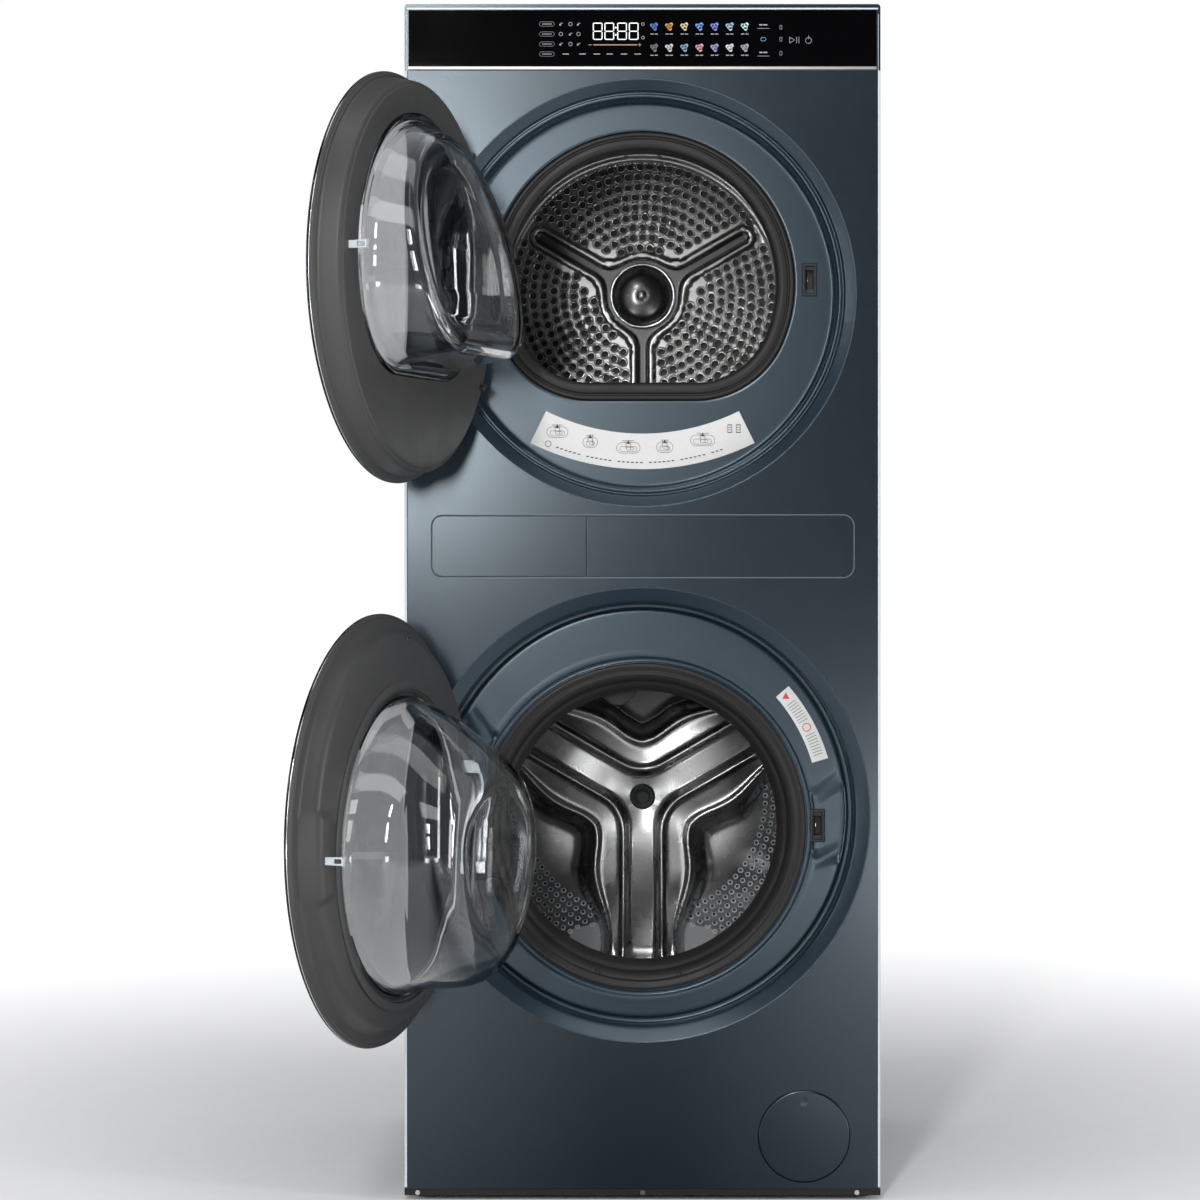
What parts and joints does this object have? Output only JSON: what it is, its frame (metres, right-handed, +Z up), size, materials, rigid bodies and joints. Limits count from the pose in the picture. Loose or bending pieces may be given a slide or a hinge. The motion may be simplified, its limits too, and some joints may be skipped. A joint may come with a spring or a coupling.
{
  "type": "washer dryer stack",
  "caption": "One-piece tower of a front-loading dryer over a front-loading washer, with round left-hinged doors that stand open, a control panel and a detergent drawer.",
  "frame": {"origin": "on the floor, at the middle of the four feet, under the middle of the cabinet", "axes": "+X to the right seen from the front, +Y to the rear, +Z up"},
  "size_m": [0.6945, 1.0806, 1.495],
  "materials": {
    "body_blue": "metallic satin",
    "ring_blue": "satin, metallic tint",
    "black_glass": "polished",
    "champagne_trim": "satin",
    "charcoal_plastic": "satin",
    "smoked_glass": "polished",
    "clear_glass": "polished",
    "dark_rubber": "matte",
    "drum_steel": "polished",
    "galvanised_steel": "satin",
    "black_plastic": "matte",
    "grey_plastic": "matte",
    "white_plastic": "satin",
    "cast_iron": "rough",
    "bright_steel": "polished",
    "coil_copper": "satin",
    "fin_aluminium": "satin",
    "black_rubber": "matte"
  },
  "bodies": {
    "cabinet": {"side_panel_left": "body_blue", "side_panel_right": "body_blue", "front_panel": "body_blue", "top_cover": "body_blue", "rear_panel": "galvanised_steel", "base_frame": "black_plastic", "levelling_feet": "black_rubber", "cabinet_screws": "bright_steel", "control_housing": "body_blue", "control_glass": "black_glass", "trim_strip": "champagne_trim", "control_board": "grey_plastic", "dryer_front_ring": "ring_blue", "washer_front_ring": "ring_blue", "door_locks": "black_plastic", "dryer_door_seal": "dark_rubber", "washer_gasket": "dark_rubber", "dryer_bulkhead_front": "black_plastic", "dryer_bulkhead_rear": "galvanised_steel", "drum_belt": "black_rubber", "dryer_motor": "galvanised_steel", "blower_housing": "grey_plastic", "compressor": "black_plastic", "heat_exchanger": "fin_aluminium", "tub_front": "grey_plastic", "tub_rear": "grey_plastic", "motor_stator": "coil_copper", "counterweights": "cast_iron", "suspension_springs": "galvanised_steel", "dampers": "black_plastic", "drain_pump": "grey_plastic", "fixed_fascia": "body_blue", "drawer_housing": "grey_plastic", "inlet_valves": "white_plastic", "cable_gland": "black_plastic", "drain_spigot": "black_plastic", "hinge_brackets": "bright_steel"},
    "dryer_door": {"dryer_door_cover": "smoked_glass", "dryer_door_liner": "charcoal_plastic", "dryer_door_glass": "clear_glass", "dryer_door_hinge": "bright_steel"},
    "washer_door": {"washer_door_cover": "smoked_glass", "washer_door_liner": "charcoal_plastic", "washer_door_glass": "clear_glass", "washer_door_hinge": "bright_steel"},
    "dryer_hook": {"dryer_door_hook": "bright_steel"},
    "washer_hook": {"washer_door_hook": "bright_steel"},
    "dryer_drum": {"dryer_drum_shell": "drum_steel", "dryer_drum_back": "drum_steel", "dryer_drum_lifters": "charcoal_plastic"},
    "washer_drum": {"washer_drum_shell": "drum_steel", "washer_drum_back": "drum_steel", "washer_drum_lifters": "drum_steel", "motor_rotor": "galvanised_steel"},
    "motor_shaft": {"motor_pulley": "galvanised_steel"},
    "drawer": {"drawer_front": "body_blue", "drawer_tray": "white_plastic"},
    "service_flap": {"service_cover": "body_blue"},
    "pump_plug": {"filter_plug": "black_plastic"},
    "filter": {"lint_filter": "grey_plastic"}
  },
  "joints": [
    {"name": "dryer_door_hinge", "type": "hinge", "parent": "cabinet", "child": "dryer_door", "pos_m": [-0.2175, -0.3, 1.134], "axis": [0, 0, -1], "range_deg": [-109, 11]},
    {"name": "washer_door_hinge", "type": "hinge", "parent": "cabinet", "child": "washer_door", "pos_m": [-0.231, -0.3, 0.481], "axis": [0, 0, -1], "range_deg": [-109, 11]},
    {"name": "dryer_hook_pivot", "type": "hinge", "parent": "dryer_door", "child": "dryer_hook", "pos_m": [-0.33859, -0.71002, 1.1536], "axis": [0, 0, 1], "range_deg": [0, 4.5], "stiffness_Nm_per_rad": 0.05},
    {"name": "washer_hook_pivot", "type": "hinge", "parent": "washer_door", "child": "washer_hook", "pos_m": [-0.36257, -0.73126, 0.4651], "axis": [0, 0, 1], "range_deg": [0, 4.5], "stiffness_Nm_per_rad": 0.05},
    {"name": "dryer_drum_spin", "type": "hinge", "parent": "cabinet", "child": "dryer_drum", "pos_m": [0, 0.18, 1.168], "axis": [0, 1, 0], "continuous": true},
    {"name": "washer_drum_spin", "type": "hinge", "parent": "cabinet", "child": "washer_drum", "pos_m": [0, 0.14, 0.474], "axis": [0, 1, 0], "continuous": true},
    {"name": "motor_shaft_spin", "type": "hinge", "parent": "cabinet", "child": "motor_shaft", "pos_m": [-0.238, 0, 0.925], "axis": [0, 1, 0], "continuous": true},
    {"name": "drawer_slide", "type": "slide", "parent": "cabinet", "child": "drawer", "axis": [0, -1, 0], "range_m": [0, 0.21]},
    {"name": "service_flap_hinge", "type": "hinge", "parent": "cabinet", "child": "service_flap", "pos_m": [0.202, -0.2995, 0.0295], "axis": [1, 0, 0], "range_deg": [0, 85]},
    {"name": "pump_plug_turn", "type": "hinge", "parent": "cabinet", "child": "pump_plug", "pos_m": [0.202, -0.26, 0.0795], "axis": [0, -1, 0], "range_deg": [0, 120]},
    {"name": "lint_filter_slide", "type": "slide", "parent": "cabinet", "child": "filter", "axis": [0, 0, 1], "range_m": [0, 0.085]}
  ],
  "couplings": [
    {"joint": "motor_shaft_spin", "follows": "dryer_drum_spin", "ratio": 22.917}
  ]
}
